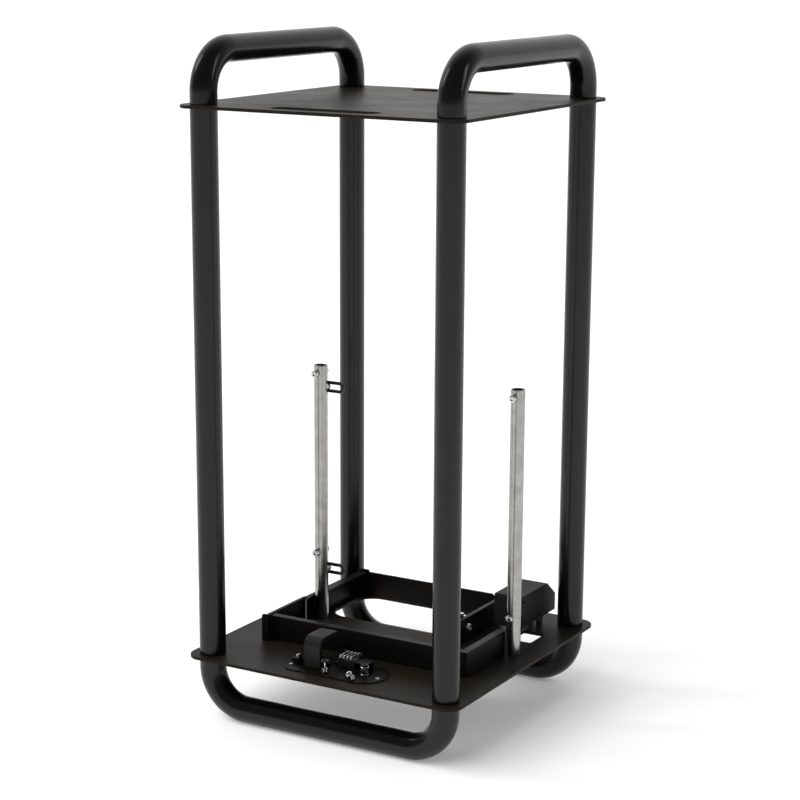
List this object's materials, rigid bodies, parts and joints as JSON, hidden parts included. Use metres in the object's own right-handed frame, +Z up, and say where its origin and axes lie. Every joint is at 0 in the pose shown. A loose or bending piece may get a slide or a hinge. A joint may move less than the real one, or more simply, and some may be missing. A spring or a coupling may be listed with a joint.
{
  "type": "tubular equipment carrying frame",
  "caption": "Tall open carrying frame of bent round tube with two plates, skids and handles, a docking cradle with a latch and spring contacts, and two upright posts.",
  "frame": {"origin": "centre of the footprint, on the floor under the skids", "axes": "+Z up, -Y to the front where the latch and contacts are, +X to the right"},
  "size_m": [0.393, 0.393, 0.858],
  "materials": {
    "frame_tube": "satin black powder coat",
    "plate_black": "matt black fine-texture powder coat",
    "sheet_black": "matt black powder coat on folded sheet",
    "box_black": "matt black powder coat on folded sheet",
    "post_steel": "drawn and brushed stainless tube",
    "inner_steel": "turned steel",
    "tab_black": "black zinc",
    "hook_black": "satin black coated steel",
    "block_plastic": "moulded black",
    "contact_plate": "bright plated spring strip",
    "board_laminate": "green laminate",
    "disc_rubber": "black rubber",
    "screw_black": "black oxide",
    "bright_hardware": "polished stainless"
  },
  "bodies": {
    "frame": {"skid_front": "frame_tube", "skid_rear": "frame_tube", "upright_front_left": "frame_tube", "upright_front_right": "frame_tube", "upright_rear_left": "frame_tube", "upright_rear_right": "frame_tube", "handle_left": "frame_tube", "handle_right": "frame_tube", "base_plate": "plate_black", "top_plate": "plate_black", "base_joint_plugs": "inner_steel", "top_joint_plugs": "inner_steel", "joining_studs": "inner_steel", "front_wall": "sheet_black", "right_wall": "sheet_black", "left_wall": "sheet_black", "left_guide": "sheet_black", "rear_rail": "sheet_black", "side_arm": "sheet_black", "arm_bracket": "sheet_black", "arm_screw": "bright_hardware", "arm_stud": "bright_hardware", "box_cover": "box_black", "box_base": "box_black", "box_standoffs": "bright_hardware", "box_screws": "bright_hardware", "contact_board": "board_laminate", "post_left": "post_steel", "post_right": "post_steel", "post_feet": "inner_steel", "post_foot_screws": "inner_steel", "post_bolts": "bright_hardware", "post_nuts": "bright_hardware", "tab_bushes": "bright_hardware", "tab_screws": "bright_hardware", "dock_plate": "sheet_black", "dock_screws": "bright_hardware", "hook_bracket": "sheet_black", "bracket_screw": "bright_hardware", "hook_pin": "screw_black", "hook_spring": "screw_black", "contact_block": "block_plastic", "contact_rod": "inner_steel", "contact_shelf": "sheet_black", "cap_nut": "bright_hardware", "dock_standoff": "bright_hardware", "standoff_screw": "screw_black", "guide_stud": "bright_hardware", "guide_disc": "disc_rubber"},
    "hook": {"latch_hook": "hook_black"},
    "tab_high": {"upper_tab": "tab_black"},
    "tab_low": {"lower_tab": "tab_black"},
    "leaf_1": {"contact_1": "contact_plate"},
    "leaf_2": {"contact_2": "contact_plate"},
    "leaf_3": {"contact_3": "contact_plate"},
    "leaf_4": {"contact_4": "contact_plate"}
  },
  "joints": [
    {"name": "hook_turn", "type": "hinge", "parent": "frame", "child": "hook", "pos_m": [-0.0295, -0.1505, 0.09405], "axis": [1, 0, 0], "range_deg": [0, 75], "stiffness_Nm_per_rad": 0.12, "springref_deg": -28.65},
    {"name": "upper_tab_slide", "type": "slide", "parent": "frame", "child": "tab_high", "axis": [1, 0, 0], "range_m": [-0.02, 0]},
    {"name": "lower_tab_slide", "type": "slide", "parent": "frame", "child": "tab_low", "axis": [1, 0, 0], "range_m": [-0.02, 0]},
    {"name": "contact_1_dip", "type": "hinge", "parent": "frame", "child": "leaf_1", "pos_m": [0.00158, -0.119, 0.10015], "axis": [1, 0, 0], "range_deg": [0, 4.5], "stiffness_Nm_per_rad": 0.1, "springref_deg": -2.86},
    {"name": "contact_2_dip", "type": "hinge", "parent": "frame", "child": "leaf_2", "pos_m": [0.00666, -0.119, 0.10015], "axis": [1, 0, 0], "range_deg": [0, 4.5], "stiffness_Nm_per_rad": 0.1, "springref_deg": -2.86},
    {"name": "contact_3_dip", "type": "hinge", "parent": "frame", "child": "leaf_3", "pos_m": [0.01174, -0.119, 0.10015], "axis": [1, 0, 0], "range_deg": [0, 4.5], "stiffness_Nm_per_rad": 0.1, "springref_deg": -2.86},
    {"name": "contact_4_dip", "type": "hinge", "parent": "frame", "child": "leaf_4", "pos_m": [0.01682, -0.119, 0.10015], "axis": [1, 0, 0], "range_deg": [0, 4.5], "stiffness_Nm_per_rad": 0.1, "springref_deg": -2.86}
  ]
}
